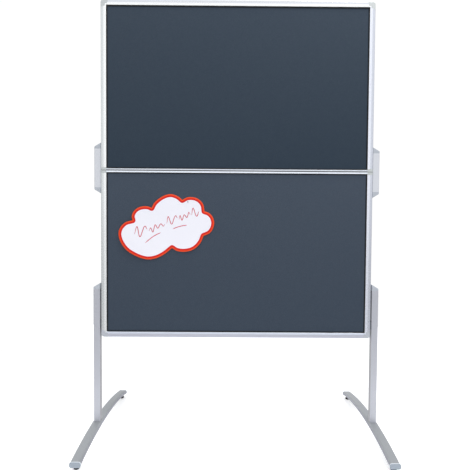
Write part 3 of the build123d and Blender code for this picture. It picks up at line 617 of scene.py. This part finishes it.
def pen_stroke(name, path, widths, material):
    """A felt-pen line: a thin flat ribbon with round ends lying on the card."""
    verts, faces = [], []
    n = len(path)
    for i, (x, z) in enumerate(path):
        a = path[max(i - 1, 0)]
        b = path[min(i + 1, n - 1)]
        dx, dz = b[0] - a[0], b[1] - a[1]
        l = math.hypot(dx, dz) or 1.0
        nx, nz = -dz / l, dx / l
        w = widths(i / (n - 1)) / 2
        for s in (-1.0, -0.45, 0.45, 1.0):
            px, pz = x + nx * w * s, z + nz * w * s
            top = 0.46 + 0.07 * (1 - abs(s))
            verts.append((px / 1000, FELT_FRONT - (lift(px, pz) + 0.4 + top - 0.4) / 1000, pz / 1000))
    for i in range(n - 1):
        for k in range(3):
            a = i * 4 + k
            faces.append((a, a + 1, a + 5, a + 4))
    return new_object(name, verts, faces, material)


paper = paper_material("printed_card")
card = card_sheet("cloud_card_sheet", 0.4, paper)
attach(card, "card")
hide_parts("cloud_card")

ink = ink_material("felt_pen", srgb(205, 62, 78))
rnd = random.Random(5)


def wave(x0, z0, x1, z1, turns, amp, lean, seed):
    """A plain running wave from one point to another."""
    r = random.Random(seed)
    l = math.hypot(x1 - x0, z1 - z0)
    ux, uz = (x1 - x0) / l, (z1 - z0) / l
    ph = [r.uniform(0, 6.28) for _ in range(3)]
    out = []
    n = int(turns * 22)
    for i in range(n + 1):
        t = i / n
        a = amp * (0.72 + 0.28 * math.sin(2.3 * t * turns + ph[0])) * min(1.0, 6 * t + 0.3, 6 * (1 - t) + 0.3)
        s = math.sin(2 * math.pi * turns * t)
        along = t * l + lean * a * s
        off = a * s + 3.0 * math.sin(math.pi * t)
        out.append((x0 + ux * along - uz * off, z0 + uz * along + ux * off))
    return out


STROKES = [
    (wave(-452, 912, -396, 934, 1.5, 26.0, 0.45, 1), 3.4),
    (wave(-388, 926, -318, 958, 3.0, 13.0, 0.40, 2), 3.2),
    (wave(-310, 960, -262, 984, 1.5, 27.0, 0.45, 7), 3.2),
    (wave(-256, 978, -206, 1000, 2.5, 15.0, 0.40, 3), 3.2),
    (wave(-200, 998, -168, 1014, 1.0, 24.0, 0.45, 4), 3.2),
    ([(-403.9 + 67.6 * t, 873.5 + 45.8 * t + 5.0 * math.sin(math.pi * t)) for t in np.linspace(0, 1, 18)], 3.4),
    ([(-283.1 + 63.1 * t, 936.2 + 17.2 * t + 3.0 * math.sin(math.pi * t)) for t in np.linspace(0, 1, 18)], 3.4),
]
for i, (path, width) in enumerate(STROKES):
    o = pen_stroke(f"pen_line_{i + 1}", path, lambda t, w=width: w * (0.35 + 0.65 * min(1.0, 8 * t, 8 * (1 - t))), ink)
    o.parent = card

# ================================================================== stage, light and camera
def floor_sheet():
    verts, faces = [], []
    n, rings = 64, 12
    verts.append((0.0, 0.75, 0.0))
    for r in range(1, rings + 1):
        for i in range(n):
            a = 2 * math.pi * i / n
            q = 1.75 * r / rings
            verts.append((q * math.cos(a), 0.75 + q * math.sin(a), 0.0))
    for i in range(n):
        faces.append((0, 1 + i, 1 + (i + 1) % n))
    for r in range(rings - 1):
        for i in range(n):
            a, b = 1 + r * n + i, 1 + r * n + (i + 1) % n
            faces.append((a, a + n, b + n, b))
    m = Mat("studio_floor", Roughness=0.9)
    g = m.noise(40.0, 3.0, 0.5)
    m.colour(m.ramp(g, [(0.0, (0.93, 0.93, 0.93, 1)), (1.0, (0.95, 0.95, 0.95, 1))]))
    m.b.inputs["Specular IOR Level"].default_value = 0.0
    m.b.inputs["Emission Color"].default_value = (1.0, 1.0, 1.0, 1.0)
    m.b.inputs["Emission Strength"].default_value = 0.36
    o = new_object("studio_floor", verts, faces, m.m)
    return o


floor = floor_sheet()

world = bpy.data.worlds.new("studio")
scene.world = world
world.use_nodes = True
nt = world.node_tree
nt.nodes.clear()
wout = nt.nodes.new("ShaderNodeOutputWorld")
tc = nt.nodes.new("ShaderNodeTexCoord")
sep = nt.nodes.new("ShaderNodeSeparateXYZ")
nt.links.new(tc.outputs["Generated"], sep.inputs[0])
mr = nt.nodes.new("ShaderNodeMapRange")
mr.inputs["From Min"].default_value = -1.0
mr.inputs["From Max"].default_value = 1.0
nt.links.new(sep.outputs["Z"], mr.inputs["Value"])
ramp = nt.nodes.new("ShaderNodeValToRGB")
SKY = [(-1.0, 0.60), (-0.30, 0.58), (-0.16, 0.58), (-0.06, 0.74), (0.04, 0.97), (0.16, 1.02), (0.5, 1.02), (1.0, 1.0)]
e = ramp.color_ramp.elements
while len(e) > 1:
    e.remove(e[-1])
for i, (s, v) in enumerate(SKY):
    x = e[0] if i == 0 else e.new((s + 1) / 2)
    x.position = (s + 1) / 2
    k = v / 1.2
    x.color = (k * 0.985, k * 0.992, k, 1.0)
nt.links.new(mr.outputs["Result"], ramp.inputs[0])
bg = nt.nodes.new("ShaderNodeBackground")
bg.inputs["Strength"].default_value = 1.28
side = nt.nodes.new("ShaderNodeMath")
side.operation = "ABSOLUTE"
nt.links.new(sep.outputs["X"], side.inputs[0])
flag = nt.nodes.new("ShaderNodeMapRange")
for k, v in zip(("From Min", "From Max", "To Min", "To Max"), (0.55, 0.95, 1.0, 0.5)):
    flag.inputs[k].default_value = v
nt.links.new(side.outputs[0], flag.inputs["Value"])
shade = nt.nodes.new("ShaderNodeVectorMath")
shade.operation = "SCALE"
nt.links.new(ramp.outputs[0], shade.inputs[0])
nt.links.new(flag.outputs["Result"], shade.inputs["Scale"])
nt.links.new(shade.outputs["Vector"], bg.inputs["Color"])
white = nt.nodes.new("ShaderNodeBackground")
white.inputs["Color"].default_value = (1, 1, 1, 1)
white.inputs["Strength"].default_value = 1.02
lp = nt.nodes.new("ShaderNodeLightPath")
mixs = nt.nodes.new("ShaderNodeMixShader")
nt.links.new(lp.outputs["Is Camera Ray"], mixs.inputs[0])
nt.links.new(bg.outputs[0], mixs.inputs[1])
nt.links.new(white.outputs[0], mixs.inputs[2])
nt.links.new(mixs.outputs[0], wout.inputs[0])


def area(name, loc, target, size, power, colour=(1, 1, 1)):
    l = bpy.data.lights.new(name, "AREA")
    l.shape = "RECTANGLE"
    l.size, l.size_y = size
    l.energy = power
    l.color = colour
    o = bpy.data.objects.new(name, l)
    scene.collection.objects.link(o)
    o.location = loc
    d = Vector(target) - Vector(loc)
    o.rotation_euler = d.to_track_quat("-Z", "Y").to_euler()
    return o


area("key_light", (1.2, -0.75, 3.8), (0.0, -0.12, 0.9), (0.9, 0.7), 38.0, (1.0, 0.99, 0.97))
area("fill_light", (-2.8, 2.4, 2.6), (0.0, 0.0, 1.0), (1.8, 1.4), 10.0, (0.97, 0.98, 1.0))

scene.view_settings.view_transform = "Standard"
scene.view_settings.look = "None"

cam = bpy.data.cameras.new("camera")
cam.lens = 401.02 / 470.0 * 36.0
cam.sensor_fit = "HORIZONTAL"
cam.sensor_width = 36.0
cam.clip_start, cam.clip_end = 0.05, 50.0
cam.dof.use_dof = False
camera = bpy.data.objects.new("camera", cam)
scene.collection.objects.link(camera)
yaw, pitch, roll = 0.00411, 0.02949, 0.00724
fwd = Vector((math.sin(yaw) * math.cos(pitch), math.cos(yaw) * math.cos(pitch), -math.sin(pitch)))
right = Vector((math.cos(yaw), -math.sin(yaw), 0.0))
up = right.cross(fwd)
r = right * math.cos(roll) + up * math.sin(roll)
u = -right * math.sin(roll) + up * math.cos(roll)
loc = Vector((-0.01434, -1.8627, 0.9637))
camera.matrix_world = Matrix(((r.x, u.x, -fwd.x, loc.x), (r.y, u.y, -fwd.y, loc.y), (r.z, u.z, -fwd.z, loc.z), (0, 0, 0, 1)))
scene.camera = camera
